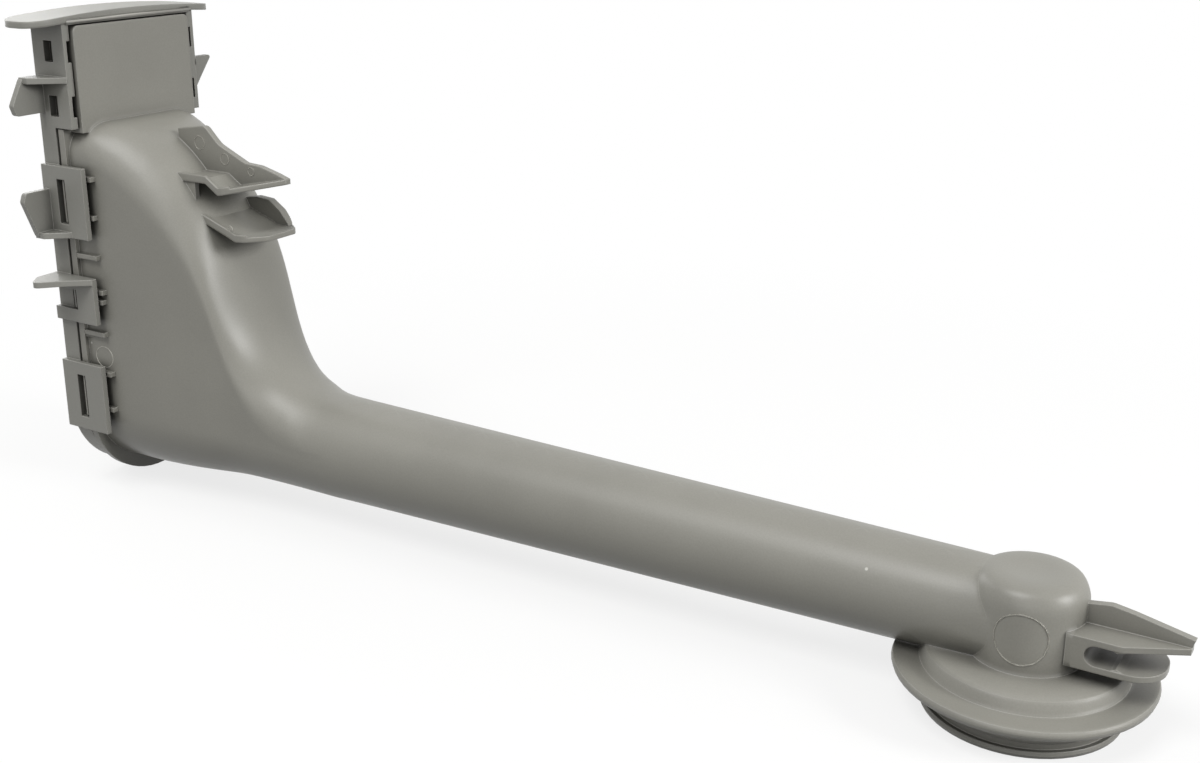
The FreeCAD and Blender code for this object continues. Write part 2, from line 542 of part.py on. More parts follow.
def buildEndClip(body):
    """The clip on the tower that snaps over a wire of the rack, open to +X."""
    low = "(endWireHeight - endWire)"
    high = "(endWireHeight + endWire)"
    floor = newSketch(body, "endJawOutline", "XY_Plane", f"{low} - jawThick")
    drawOutline(floor, [
        ("towerRadius - wall / 2", "0 - clipHalf"),
        ("endJawTip", "0 - clipHalf", "clipHalf * 0.9"),
        ("endJawTip", "clipHalf", "clipHalf * 0.9"),
        ("towerRadius - wall / 2", "clipHalf"),
    ])
    pad(body, "endJaw", floor, "jawThick")
    roof = newSketch(body, "endPlateOutline", "XY_Plane", high)
    drawOutline(roof, [
        ("towerRadius - wall / 2", "0 - clipHalf"),
        ("endClipNeck + 0.8", "0 - clipHalf"),
        ("endClipTip", "0 - clipWeb * 0.8"),
        ("endClipTip", "clipWeb * 0.8"),
        ("endClipNeck + 0.8", "clipHalf"),
        ("towerRadius - wall / 2", "clipHalf"),
    ])
    pad(body, "endPlate", roof, "jawThick")
    back = newSketch(body, "endBackOutline", "XZ_Plane")
    drawBox(back, "towerRadius - wall", "endWireReach", f"{low} - jawThick", f"{high} + jawThick")
    pad(body, "endBack", back, "2 * clipHalf", symmetric=True)
    web = newSketch(body, "endWebOutline", "XZ_Plane")
    drawOutline(web, [
        ("towerRadius - wall", high),
        ("endClipTip - 0.6", high),
        ("endClipTip + 0.5", f"{high} + 2.9"),
        ("endWireReach + 5.1", f"{high} + 5.3", "3"),
        ("endWireReach + 0.8", f"{high} + 6.0", "3"),
        ("towerRadius - wall", f"{high} + 5.0"),
    ])
    pad(body, "endWeb", web, "clipWeb", symmetric=True)
    for name, edge, tip in (("endSnapLow", low, f"{low} + 0.45"), ("endSnapHigh", high, f"{high} - 0.45")):
        snap = newSketch(body, name + "Outline", "XZ_Plane")
        drawOutline(snap, [("endClipNeck - 1", edge), ("endClipNeck", tip), ("endClipNeck + 1.4", edge)])
        pad(body, name, snap, "2 * clipHalf - 0.4", symmetric=True)
    seat = newSketch(body, "endSeatOutline", "XZ_Plane")
    circle = seat.addGeometry(Part.Circle(FreeCAD.Vector(number("endWireReach"), number("endWireHeight"), 0),
                                          FreeCAD.Vector(0, 0, 1), number("endWire")), False)
    place(seat, circle, 3, "endWireReach", "endWireHeight")
    bind(seat, "Radius", circle, size="endWire")
    pocket(body, "endSeat", seat, "2 * clipHalf + 2", symmetric=True)


def buildLugs(body):
    """Snap lugs that catch in the frame's windows, and the small ribs behind them, on both sides."""
    for level in PLATES:
        bottom = f"{level}PlateFloor + plateBar + fitGap"
        tall = f"{level}PlateTall - 2 * plateBar - 2 * fitGap"
        for side in (1, -1):
            mark = "Left" if side > 0 else "Right"
            # The flange opens behind the window, down to the bell's side
            hole = newSketch(body, f"{level}Recess{mark}Outline", "XY_Plane", bottom)
            drawOutline(hole, [
                (depth(f"{FLANGE_START} - 0.1"), f"{side} * (mouthHalf + 0.2)"),
                (depth(f"{FLANGE_START} + flangeThick + 0.1"), f"{side} * (mouthHalf + 0.2)"),
                (depth(f"{FLANGE_START} + flangeThick + 0.1"), f"{side} * (headHalf + 1)"),
                (depth(f"{FLANGE_START} - 0.1"), f"{side} * (headHalf + 1)"),
            ])
            pocket(body, f"{level}Recess{mark}", hole, tall, reverse=True)
            lug = newSketch(body, f"{level}Lug{mark}Outline", "XY_Plane", bottom)
            drawOutline(lug, [
                (depth(FLANGE_START), f"{side} * (mouthHalf - 1)"),
                (depth(f"{FLANGE_START} + lugDepth"), f"{side} * (mouthHalf - 1)"),
                (depth(f"{FLANGE_START} + lugDepth"), f"{side} * ({FLANGE_HALF} + lugReach)"),
                (depth(f"{FLANGE_START} + lugDepth * 0.6"), f"{side} * ({FLANGE_HALF} + lugReach)"),
                (depth(FLANGE_START), f"{side} * ({FLANGE_HALF} - 0.2)"),
            ])
            pad(body, f"{level}Lug{mark}", lug, tall)
    for name, height in (("ribA", "upperPlateFloor + upperPlateTall - plateBar - 0.8"),
                         ("ribB", "upperPlateFloor + plateBar + 1.4"),
                         ("ribC", "upperPlateFloor - 6.0"),
                         ("ribD", "middlePlateFloor + middlePlateTall - 4.2"),
                         ("ribE", "middlePlateFloor + plateBar + 1.0"),
                         ("ribF", "middlePlateFloor - 4.4"),
                         ("ribG", "lowerPlateFloor + lowerPlateTall - 3.8"),
                         ("ribH", "lowerPlateFloor + plateBar + 1.8")):
        rib = newSketch(body, name + "Outline", "XY_Plane", height)
        drawOutline(rib, [
            (depth(f"{FLANGE_START} + flangeThick / 2"), f"0 - {FLANGE_HALF} + 0.2"),
            (depth(f"{FLANGE_START} + flangeThick + ribReach"), "0 - mouthHalf + 1.1"),
            (depth(f"{FLANGE_START} + flangeThick + ribReach"), "mouthHalf - 1.1"),
            (depth(f"{FLANGE_START} + flangeThick / 2"), f"{FLANGE_HALF} - 0.2"),
        ])
        pad(body, name, rib, "ribThick")


def buildCores(body):
    """The hollow of the duct: mouth, bell, pipe and tower."""
    mouth = newSketch(body, "mouthCore", "YZ_Plane", depth("0"))
    drawArch(mouth, SPIGOT_BORE, f"{SPIGOT_FLOOR} + wall", f"{PANEL_ROOF} - wall")
    pocket(body, "mouthHollow", mouth, "frameDepth + seamGap + flangeThick", reverse=True)
    box = newSketch(body, "boxCore", "YZ_Plane", depth("frameDepth"))
    drawBox(box, f"0 - {PANEL_HALF} + wall", f"{PANEL_HALF} - wall", "panelFloor - 8", f"{PANEL_ROOF} - wall")
    pocket(body, "boxHollow", box, "panelDepth - wall - frameDepth", reverse=True)
    sections = []
    for name, where, half, low, high, corner in BELL:
        sketch = newSketch(body, name + "Core", "YZ_Plane", depth(f"{where} - wall"))
        drawStadium(sketch, f"{half} - wall", f"{low} + wall", f"{high} - wall", f"{corner} - wall")
        sections.append(sketch)
    last = newSketch(body, "bellEndCore", "YZ_Plane", depth("bellLength - wall"))
    drawSplitCircle(last, "(pipeRootRadius - wall)", "pipeHeight")
    doc.recompute()
    loft(body, "bellHollow", "SubtractiveLoft", sections + [last])
    bore = newSketch(body, "boreProfile", "XZ_Plane")
    bore.setExpression("AttachmentOffset.Base.y", bound("pipeHeight"))
    drawOutline(bore, [(depth("bellLength - wall"), "0"), ("0", "0"), ("0", "pipeEndRadius - wall"),
                       (depth("bellLength - wall"), "pipeRootRadius - wall")])
    turn(body, "bore", "Groove", bore, "H_Axis")
    outlet = newSketch(body, "outletProfile", "XZ_Plane")
    bevel = "0.7 * (towerDome - wall)"
    drawOutline(outlet, [("0", "0"), ("towerRadius - wall", "0"),
                         ("towerRadius - wall", "towerHeight - towerDome"),
                         (f"towerRadius - towerDome + {bevel}", f"towerHeight - towerDome + {bevel}"),
                         ("towerRadius - towerDome", "towerHeight - wall"),
                         ("0", "towerHeight - wall")])
    turn(body, "outlet", "Groove", outlet, "V_Axis")


def buildPipe():
    body = newBody("feed_pipe")
    for step in (buildBell, buildTower, buildBarrel, buildHead, buildSideClip, buildEndClip, buildLugs, buildCores):
        step(body)
        doc.recompute()
    return body


def buildFrame():
    body = newBody("docking_frame")
    ring = newSketch(body, "ringOutline", "YZ_Plane", depth("0"))
    drawArch(ring, "headHalf", "headFloor", "headRoof")
    pad(body, "ring", ring, "frameDepth")
    hood = newSketch(body, "hoodOutline", "YZ_Plane", depth("frameDepth"))
    drawBox(hood, "0 - headHalf", "headHalf", "hoodFloor", "headRoof")
    pad(body, "hood", hood, "hoodDepth - frameDepth")
    # Lid: a strip across the top, arched along its length, with round ends
    lid = newSketch(body, "lidOutline", "YZ_Plane", depth("0 - lidFront"))
    drawArchedStrip(lid, "lidHalf", "headRoof", "lidThick", "lidCrown")
    pad(body, "lid", lid, "lidDepth")
    for side in (1, -1):
        mark = "Left" if side > 0 else "Right"
        ends = newSketch(body, "lidEnd" + mark, "XY_Plane", "headRoof + lidThick + 1")
        front, back, edge = depth("0 - lidFront"), depth("lidDepth - lidFront"), f"{side} * lidHalf"
        drawOutline(ends, [
            (f"{front} - 1", f"{side} * headHalf"),
            (front, f"{side} * headHalf"),
            (front, edge, "lidDepth * 0.42"),
            (back, edge, "lidDepth * 0.42"),
            (back, f"{side} * headHalf"),
            (f"{back} + 1", f"{side} * headHalf"),
            (f"{back} + 1", f"{side} * (lidHalf + 1)"),
            (f"{front} - 1", f"{side} * (lidHalf + 1)"),
        ])
        pocket(body, "lidRound" + mark, ends, "lidThick + lidCrown + 2")
    # Guide fins: upright plates with a shelf, and a flat leaf
    for side in (1, -1):
        mark = "Left" if side > 0 else "Right"
        root, reach = f"{side} * (headHalf - 1)", f"{side} * (headHalf + finReach)"
        edge = f"{side} * headHalf"
        bend = f"{side} * (headHalf + finReach * 0.68)"
        far = side > 0
        upper = newSketch(body, "upperFin" + mark, "YZ_Plane", depth("backFinSet" if far else "finSet"))
        if far:
            drawOutline(upper, [(root, "upperFinFloor - 1"), ("headHalf + 2.4", "upperFinFloor - 1", "1"),
                                ("headHalf + backFinReach * 0.6", "upperFinFloor + 4"),
                                ("headHalf + backFinReach", "upperFinRoof", "0.6"), (root, "upperFinRoof")])
        else:
            drawOutline(upper, [(root, "upperFinFloor"), (reach, "upperFinFloor", "1"),
                                (f"{side} * (headHalf + finReach * 1.1)", "upperFinFloor + 2.6", "1"),
                                (bend, "upperFinRoof", "1.5"), (root, "upperFinRoof")])
        pad(body, "upperFinPlate" + mark, upper, "finThick")
        lower = newSketch(body, "lowerFin" + mark, "YZ_Plane", depth("finSet"))
        drawOutline(lower, [(root, "lowerFinFloor"), (bend, "lowerFinFloor", "1.5"),
                            (f"{side} * (headHalf + finReach * 1.1)", "lowerFinRoof - 2.2", "1"),
                            (reach, "lowerFinRoof", "1"), (root, "lowerFinRoof")])
        pad(body, "lowerFinPlate" + mark, lower, "finThick")
        for name, height in (("upperFin", "upperFinRoof - finThick"), ("lowerFin", "lowerFinFloor")):
            shelf = newSketch(body, name + "Shelf" + mark, "XY_Plane", height)
            drawOutline(shelf, [(depth("finSet"), edge), (depth("finShelf"), edge),
                                (depth("finShelf - 1.5"), f"{side} * (headHalf + 0.6)"),
                                (depth("finSet + finThick + 1.5"), bend), (depth("finSet"), bend)])
            pad(body, name + "ShelfPlate" + mark, shelf, "finThick")
        leaf = newSketch(body, "middleFin" + mark, "XY_Plane", "middlePlateFloor + middlePlateTall - finThick")
        drawOutline(leaf, [(depth("0"), edge), (depth("plateDepth"), edge),
                           (depth("plateDepth"), f"{side} * (headHalf + plateThick)"),
                           (depth("0.62 * plateDepth"), f"{side} * (headHalf + leafReach * 0.5)", "8"),
                           (depth("0.27 * plateDepth"), f"{side} * (headHalf + leafReach)", "1.5"),
                           (depth("0.01 * plateDepth"), f"{side} * (headHalf + leafReach * 0.6)", "4")])
        pad(body, "middleFinPlate" + mark, leaf, "finThick")
    # Window plates, the middle one open towards the docking face
    for level in PLATES:
        slotStart = "0 - 1" if level == "middle" else "frameDepth"
        for side in (1, -1):
            mark = "Left" if side > 0 else "Right"
            start = "0 - headHalf - plateThick" if side > 0 else "headHalf"
            plate = newSketch(body, f"{level}Plate{mark}", "XZ_Plane", start)
            drawBox(plate, depth("0"), depth("plateDepth"), f"{level}PlateFloor",
                    f"{level}PlateFloor + {level}PlateTall")
            pad(body, f"{level}PlateBody{mark}", plate, "plateThick")
            window = newSketch(body, f"{level}Window{mark}", "XZ_Plane", start)
            drawBox(window, depth(slotStart), depth("frameDepth + plateSlot"), f"{level}PlateFloor + plateBar",
                    f"{level}PlateFloor + {level}PlateTall - plateBar")
            pocket(body, f"{level}WindowCut{mark}", window, "plateThick", reverse=True)
    # Hollow: the opening through the front lip and the room for the spigot and the box
    face = newSketch(body, "faceOpening", "YZ_Plane", depth("0"))
    drawArch(face, SPIGOT_BORE, f"{SPIGOT_FLOOR} + wall", f"{PANEL_ROOF} - wall")
    pocket(body, "faceCut", face, "facePlate", reverse=True)
    room = newSketch(body, "spigotRoom", "YZ_Plane", depth("facePlate"))
    drawArch(room, "headHalf - headWall", "headFloor + headWall", "headRoof - roofWall")
    pocket(body, "roomCut", room, "hoodDepth", reverse=True)
    for name, height in (("upperVent", "upperVent"), ("lowerVent", "lowerVent")):
        vent = newSketch(body, name + "Outline", "XZ_Plane")
        drawBox(vent, depth("ventStart"), depth("ventEnd"), height, f"{height} + ventTall")
        pocket(body, name + "Cut", vent, "2 * headHalf + 2", symmetric=True)
        notch = newSketch(body, name + "Notch", "YZ_Plane", depth("hoodDepth - notchDeep"))
        drawBox(notch, "0 - headHalf + headWall / 2", "headHalf - headWall / 2", height, f"{height} + ventTall")
        pocket(body, name + "NotchCut", notch, "notchDeep + 1", reverse=True)
    doc.recompute()
    return body


bodies = [buildPipe(), buildFrame()]
doc.recompute()

faults = [item.Name for item in doc.Objects if "Invalid" in item.State or "Error" in item.State]
if faults:
    raise RuntimeError("These objects failed: " + ", ".join(faults))
for body in bodies:
    if body.Shape.isNull() or not body.Shape.isValid():
        raise RuntimeError(body.Label + " has no valid shape")

os.makedirs("parts", exist_ok=True)
for body in bodies:
    body.Shape.exportStep(f"parts/{body.Label}.step")
    print(body.Label, len(body.Shape.Solids), "solid", round(body.Shape.Volume), "mm3", body.Shape.BoundBox)
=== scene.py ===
import math

import bmesh
import bpy
from mathutils import Euler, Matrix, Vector


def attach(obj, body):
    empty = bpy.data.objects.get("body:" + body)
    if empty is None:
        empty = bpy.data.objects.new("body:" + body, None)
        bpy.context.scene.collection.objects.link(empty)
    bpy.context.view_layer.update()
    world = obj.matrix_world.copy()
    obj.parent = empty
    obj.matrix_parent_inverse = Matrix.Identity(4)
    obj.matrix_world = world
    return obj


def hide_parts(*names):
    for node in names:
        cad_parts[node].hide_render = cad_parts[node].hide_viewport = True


# Dishwasher wash arm holder in moulded grey plastic: a duct with two wire clips, and its docking frame.
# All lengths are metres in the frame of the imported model, whose origin is on the wash arm's axis.

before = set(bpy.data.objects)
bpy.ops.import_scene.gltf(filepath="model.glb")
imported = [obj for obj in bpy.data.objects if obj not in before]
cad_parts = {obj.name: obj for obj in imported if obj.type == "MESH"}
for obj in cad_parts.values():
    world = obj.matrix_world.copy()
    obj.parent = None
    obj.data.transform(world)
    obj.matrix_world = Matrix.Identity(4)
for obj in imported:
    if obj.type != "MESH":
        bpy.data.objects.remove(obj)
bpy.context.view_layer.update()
mm = 0.001


def linkMesh(name, mesh):
    obj = bpy.data.objects.new(name, mesh)
    bpy.context.scene.collection.objects.link(obj)
    return obj


def addNode(tree, kind, values=None, **settings):
    # Settings are the node's own, values go onto its sockets
    made = tree.nodes.new(kind)
    for key, value in settings.items():
        setattr(made, key, value)
    for key, value in (values or {}).items():
        made.inputs[key].default_value = value
    return made


# Camera: the photograph's viewing angle and lens, for its 1200 x 763 frame
cameraSet = {
    "place": (0.06726, -0.27189, 0.16155),
    "turn": (72.5075, -0.1994, 31.0210),  # degrees
    "lens": 45.43,
    "sensor": 36.0,
    "shift": (-0.0099, -0.0390),
    "nearest": 0.01,
    "farthest": 20.0,
}


def buildCamera():
    data = bpy.data.cameras.new("photoCamera")
    data.sensor_fit = "HORIZONTAL"
    data.sensor_width = cameraSet["sensor"]
    data.lens = cameraSet["lens"]
    data.shift_x, data.shift_y = cameraSet["shift"]
    data.clip_start = cameraSet["nearest"]
    data.clip_end = cameraSet["farthest"]
    camera = bpy.data.objects.new("photoCamera", data)
    bpy.context.scene.collection.objects.link(camera)
    camera.location = cameraSet["place"]
    camera.rotation_euler = Euler([math.radians(angle) for angle in cameraSet["turn"]], "XYZ")
    bpy.context.scene.camera = camera
    print("camera ready")


# Plastic: warm grey, with slow mottling, a fine eroded grain, painted shade in its hollows, edges painted
# paler as wear and as a painted highlight, and a few pale nicks
plasticSet = {
    "colour": (0.264, 0.258, 0.228),
    "roughness": (0.35, 0.46),
    "ior": 1.49,
    "specular": 0.5,
    "noiseSpan": (0.3, 0.7),  # the part of a noise's range that is used
    "mottleScale": 34.0,
    "mottleDetail": 5.0,
    "mottleDepth": 0.06,
    "grainScale": 2600.0,
    "grainDetail": 2.0,
    "grainDepth": 0.035,
    "grainHeight": 0.03 * mm,
    "grainStrength": 0.6,
    "waveScale": 120.0,
    "waveDetail": 2.0,
    "waveHeight": 0.06 * mm,
    "waveStrength": 0.5,
    "nickScale": 95.0,
    "nickSize": 0.024,
    "nickBlur": 1.6,
    "nickShare": 0.10,
    "nickColour": (0.55, 0.54, 0.50),
    # Painted shade: ambient occlusion darkens the colour in hollows, down to this share
    "paintedHollowShade": 0.30,
    "paintedShadeSpan": (0.1, 0.8),  # how open a deep hollow and a free surface are
    "paintedShadeSamples": 8,
    "edgeRadius": 0.35 * mm,
    "edgeSpan": (0.99, 0.80),  # agreement of the two normals beside an edge and on it
    # Edges painted paler, partly as wear and partly as a painted highlight
    "edgeWearAndSheenShare": 0.65,
    "edgeWearAndSheenColour": (0.48, 0.47, 0.43),
    "edgeSamples": 6,
    "filletSamples": 8,
    # Where the moulding has wider fillets: lowest corner, highest corner, radius
    "filletBoxes": [
        ((-32 * mm, -14 * mm, 12.4 * mm), (10.4 * mm, 14 * mm, 40 * mm), 1.8 * mm),  # tower, pipe's end
        ((-32 * mm, -30 * mm, 7.5 * mm), (30 * mm, 30 * mm, 12.4 * mm), 1.4 * mm),  # disk
        ((-238.5 * mm, -17 * mm, 88 * mm), (-226 * mm, 17 * mm, 102 * mm), 1.8 * mm),  # under the panel
        ((-226 * mm, -14 * mm, 68 * mm), (-186 * mm, 14 * mm, 98 * mm), 0.6 * mm),  # side clip
        ((-254 * mm, -34 * mm, 122.2 * mm), (-235 * mm, 34 * mm, 126 * mm), 0.8 * mm),  # lid
        ((-239.5 * mm, -20 * mm, 102 * mm), (-237.5 * mm, 20 * mm, 122.2 * mm), 0.9 * mm),  # panel
    ],
}

# Its three finishes: the patterns' shift, the tint over the colour, and how far the painted shade in a
# hollow reaches
finishes = {
    "ductPlastic": {"shift": (0.0, 0.0, 0.0), "tint": (1.0, 1.0, 1.0), "paintedShadeReach": 9 * mm},
    "framePlastic": {"shift": (0.31, 0.217, 0.0), "tint": (0.97, 0.98, 1.0), "paintedShadeReach": 14 * mm},
    # The marks' tint paints the thin rings paler, as a painted highlight
    "markHighlightPlastic": {"shift": (0.62, 0.434, 0.0), "tint": (2.8, 2.8, 2.8), "paintedShadeReach": 1 * mm},
}


def buildPlastic(name):
    p = plasticSet
    finish = finishes[name]
    material = bpy.data.materials.new(name)
    material.use_nodes = True
    tree = material.node_tree
    tree.nodes.clear()
    links = tree.links

    def mixed(kind, first, second, amount):
        made = addNode(tree, "ShaderNodeMix", data_type="RGBA", blend_type=kind)
        for label, value in (("A", first), ("B", second), ("Factor", amount)):
            socket = next(s for s in made.inputs if s.name == label and s.enabled)
            if isinstance(value, float):
                socket.default_value = value
            elif isinstance(value, tuple):
                socket.default_value = (*value, 1)
            else:
                links.new(value, socket)
        return next(s for s in made.outputs if s.enabled)

    def ranged(source, given, wanted):
        made = addNode(tree, "ShaderNodeMapRange", {
            "From Min": given[0], "From Max": given[1], "To Min": wanted[0], "To Max": wanted[1]})
        links.new(source, made.inputs["Value"])
        return made.outputs["Result"]

    def product(first, second):
        made = addNode(tree, "ShaderNodeMath", operation="MULTIPLY")
        links.new(first, made.inputs[0])
        links.new(second, made.inputs[1])
        return made.outputs[0]

    def insideBox(place, low, high):
        # 1 inside the box, 0 outside it
        middle = tuple((a + b) / 2 for a, b in zip(low, high))
        half = tuple((b - a) / 2 for a, b in zip(low, high))
        away = addNode(tree, "ShaderNodeVectorMath", {1: middle}, operation="SUBTRACT")
        links.new(place, away.inputs[0])
        shares = addNode(tree, "ShaderNodeVectorMath", {1: half}, operation="DIVIDE")
        links.new(away.outputs[0], shares.inputs[0])
        sizes = addNode(tree, "ShaderNodeVectorMath", operation="ABSOLUTE")
        links.new(shares.outputs[0], sizes.inputs[0])
        sides = addNode(tree, "ShaderNodeSeparateXYZ")
        links.new(sizes.outputs[0], sides.inputs[0])
        inside = None
        for side in sides.outputs:
            test = addNode(tree, "ShaderNodeMath", {1: 1.0}, operation="LESS_THAN")
            links.new(side, test.inputs[0])
            inside = test.outputs[0] if inside is None else product(inside, test.outputs[0])
        return inside

    coordinates = addNode(tree, "ShaderNodeTexCoord")
    mapping = addNode(tree, "ShaderNodeMapping", {"Location": finish["shift"]})
    links.new(coordinates.outputs["Object"], mapping.inputs["Vector"])
    mottle = addNode(tree, "ShaderNodeTexNoise", {"Scale": p["mottleScale"], "Detail": p["mottleDetail"]})
    grain = addNode(tree, "ShaderNodeTexNoise", {"Scale": p["grainScale"], "Detail": p["grainDetail"]})
    wave = addNode(tree, "ShaderNodeTexNoise", {"Scale": p["waveScale"], "Detail": p["waveDetail"]})
    nick = addNode(tree, "ShaderNodeTexVoronoi", {"Scale": p["nickScale"]}, feature="F1")
    for texture in (mottle, grain, wave, nick):
        links.new(mapping.outputs["Vector"], texture.inputs["Vector"])

    base = tuple(shade * part for shade, part in zip(p["colour"], finish["tint"]))
    depth = p["mottleDepth"]
    slow = ranged(mottle.outputs["Fac"], p["noiseSpan"], (1 - depth, 1 + depth))
    depth = p["grainDepth"]
    fine = ranged(grain.outputs["Fac"], p["noiseSpan"], (1 - depth, 1 + depth))
    coloured = mixed("MULTIPLY", base, product(slow, fine), 1.0)

    # Painted shade: ambient occlusion darkens the colour in hollows
    hollow = addNode(tree, "ShaderNodeAmbientOcclusion", {"Distance": finish["paintedShadeReach"]},
                     samples=p["paintedShadeSamples"])
    paintedShade = ranged(hollow.outputs["AO"], p["paintedShadeSpan"], (p["paintedHollowShade"], 1.0))
    coloured = mixed("MULTIPLY", coloured, paintedShade, 1.0)

    # Pale nicks: small dots in a few of the cells
    near = ranged(nick.outputs["Distance"], (p["nickSize"], p["nickSize"] * p["nickBlur"]), (1.0, 0.0))
    rare = addNode(tree, "ShaderNodeMath", {1: p["nickShare"]}, operation="LESS_THAN")
    parted = addNode(tree, "ShaderNodeSeparateColor")
    links.new(nick.outputs["Color"], parted.inputs["Color"])
    links.new(parted.outputs["Red"], rare.inputs[0])
    coloured = mixed("MIX", coloured, p["nickColour"], product(near, rare.outputs[0]))

    # Edges are painted paler, partly as wear and partly as a painted highlight: there the softened normal
    # leans away from the true one
    softened = addNode(tree, "ShaderNodeBevel", {"Radius": p["edgeRadius"]}, samples=p["edgeSamples"])
    surface = addNode(tree, "ShaderNodeNewGeometry")
    lean = addNode(tree, "ShaderNodeVectorMath", operation="DOT_PRODUCT")
    links.new(softened.outputs["Normal"], lean.inputs[0])
    links.new(surface.outputs["True Normal"], lean.inputs[1])
    wornAndSheen = ranged(lean.outputs["Value"], p["edgeSpan"], (0.0, p["edgeWearAndSheenShare"]))
    coloured = mixed("MIX", coloured, p["edgeWearAndSheenColour"], wornAndSheen)

    shader = addNode(tree, "ShaderNodeBsdfPrincipled", {
        "IOR": p["ior"], "Specular IOR Level": p["specular"]})
    links.new(coloured, shader.inputs["Base Color"])
    links.new(ranged(mottle.outputs["Fac"], p["noiseSpan"], p["roughness"]), shader.inputs["Roughness"])

    # Softened edges first, wider inside the fillet boxes
    width = addNode(tree, "ShaderNodeValue").outputs[0]
    width.default_value = p["edgeRadius"]
    for low, high, radius in p["filletBoxes"]:
        inside = insideBox(coordinates.outputs["Object"], low, high)
        wider = addNode(tree, "ShaderNodeMath", {1: radius - p["edgeRadius"]}, operation="MULTIPLY_ADD")
        links.new(inside, wider.inputs[0])
        links.new(width, wider.inputs[2])
        width = wider.outputs[0]
    rounded = addNode(tree, "ShaderNodeBevel", samples=p["filletSamples"])
    links.new(width, rounded.inputs["Radius"])

    # Then the waviness of a thick wall, and the grain
    normal = rounded.outputs["Normal"]
    for texture, kind in ((wave, "wave"), (grain, "grain")):
        bump = addNode(tree, "ShaderNodeBump", {
            "Strength": p[kind + "Strength"], "Distance": p[kind + "Height"]})
        links.new(texture.outputs["Fac"], bump.inputs["Height"])
        links.new(normal, bump.inputs["Normal"])
        normal = bump.outputs["Normal"]
    links.new(normal, shader.inputs["Normal"])

    output = addNode(tree, "ShaderNodeOutputMaterial")
    links.new(shader.outputs["BSDF"], output.inputs["Surface"])
    print("plastic", name)
    return material


# The tower's crown is flatter than a ball: what stands over its start is pressed down
crownSet = {
    "reach": 11.5 * mm,
    "start": 28.4 * mm,
    "top": 31.4 * mm,
    "pressed": 29.6 * mm,
}


def flattenCrown(shape):
    c = crownSet
    for vert in shape.verts:
        if vert.co.xy.length < c["reach"] and vert.co.z > c["start"]:
            share = (vert.co.z - c["start"]) / (c["top"] - c["start"])
            vert.co.z = c["start"] + (c["pressed"] - c["start"]) * (1 - (1 - share) ** 2)


def readTable(table, place):
    # Straight between the rows, nothing outside them
    for (start, first), (end, last) in zip(table, table[1:]):
        if start <= place < end:
            return first + (last - first) * (place - start) / (end - start)
    return 0.0


# Where the bell runs into the pipe, its upper half is drawn in to a round that keeps the outline straight
throatSet = {
    "axisHeight": 19 * mm,
    "fullRise": 5 * mm,
    "highest": 40 * mm,
    # place along X, largest radius there
    "radii": [
        (-190 * mm, 22.0 * mm), (-188 * mm, 18.6 * mm), (-186 * mm, 16.3 * mm), (-184 * mm, 14.85 * mm),
        (-182 * mm, 14.0 * mm), (-180 * mm, 13.5 * mm), (-178 * mm, 13.2 * mm), (-176 * mm, 13.05 * mm),
        (-174 * mm, 12.96 * mm), (-172 * mm, 12.9 * mm), (-170 * mm, 12.86 * mm),
    ],
}


def easeThroat(shape):
    t = throatSet
    for vert in shape.verts:
        if vert.co.z > t["highest"]:
            continue
        rise = vert.co.z - t["axisHeight"]
        reach = math.hypot(vert.co.y, rise)
        limit = readTable(t["radii"], vert.co.x)
        if rise > 0 and 0 < limit < reach:
            scale = 1 + (limit / reach - 1) * min(1.0, rise / t["fullRise"])
            vert.co.y *= scale
            vert.co.z = t["axisHeight"] + rise * scale


# The raised step of the disk is a little steeper: its edge comes out and its foot goes in
stepSet = {
    "low": 9.1 * mm,
    "high": 12.3 * mm,
    # radius, and how far it moves outwards
    "moves": [
        (17.0 * mm, 0.0), (18.1 * mm, 0.8 * mm), (19.0 * mm, 0.5 * mm), (19.5 * mm, 0.3 * mm),
        (21.1 * mm, -0.6 * mm), (22.6 * mm, 0.0),
    ],
}


def steepenStep(shape):
    s = stepSet
    for vert in shape.verts:
        radius = vert.co.xy.length
        if s["low"] < vert.co.z < s["high"] and radius > s["moves"][0][0]:
            vert.co.xy *= 1 + readTable(s["moves"], radius) / radius


# The two mouldings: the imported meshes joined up, so that their curved walls shade smoothly
mouldings = {
    "feed_pipe": {
        "piece": "waterDuct",
        "slot": "duct_plastic",
        "shaping": (flattenCrown, easeThroat, steepenStep),
    },
    "docking_frame": {
        "piece": "dockingFrame",
        "slot": "frame_plastic",
        "shaping": (),
    },
}
smoothing = {
    "merge": 0.004 * mm,
    "sharpAngle": 30.0,  # degrees
}


def shadeSmooth(mesh, sharpAngle=None):
    mesh.polygons.foreach_set("use_smooth", [True] * len(mesh.polygons))
    if sharpAngle is not None:
        mesh.set_sharp_from_angle(angle=math.radians(sharpAngle))


def buildMoulding(nodeName, material):
    facts = mouldings[nodeName]
    shape = bmesh.new()
    shape.from_mesh(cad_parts[nodeName].data)
    bmesh.ops.remove_doubles(shape, verts=shape.verts, dist=smoothing["merge"])
    bmesh.ops.dissolve_degenerate(shape, edges=shape.edges, dist=smoothing["merge"])
    for change in facts["shaping"]:
        change(shape)
    mesh = bpy.data.meshes.new(facts["piece"])
    shape.to_mesh(mesh)
    shape.free()
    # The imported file's own normals would keep every edge as it came
    for label in [layer.name for layer in mesh.attributes if layer.name == "custom_normal"]:
        mesh.attributes.remove(mesh.attributes[label])
    mesh.materials.clear()
    mesh.materials.append(material)
    mesh.polygons.foreach_set("material_index", [0] * len(mesh.polygons))
    shadeSmooth(mesh, smoothing["sharpAngle"])
    piece = linkMesh(facts["piece"], mesh)
    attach(piece, "root")
    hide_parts(nodeName)
    print("moulding", facts["piece"], len(mesh.polygons), "faces")


# What the node trees share: their sockets, a ring's circle and ridge, and the way they end
ridgeSides = 8


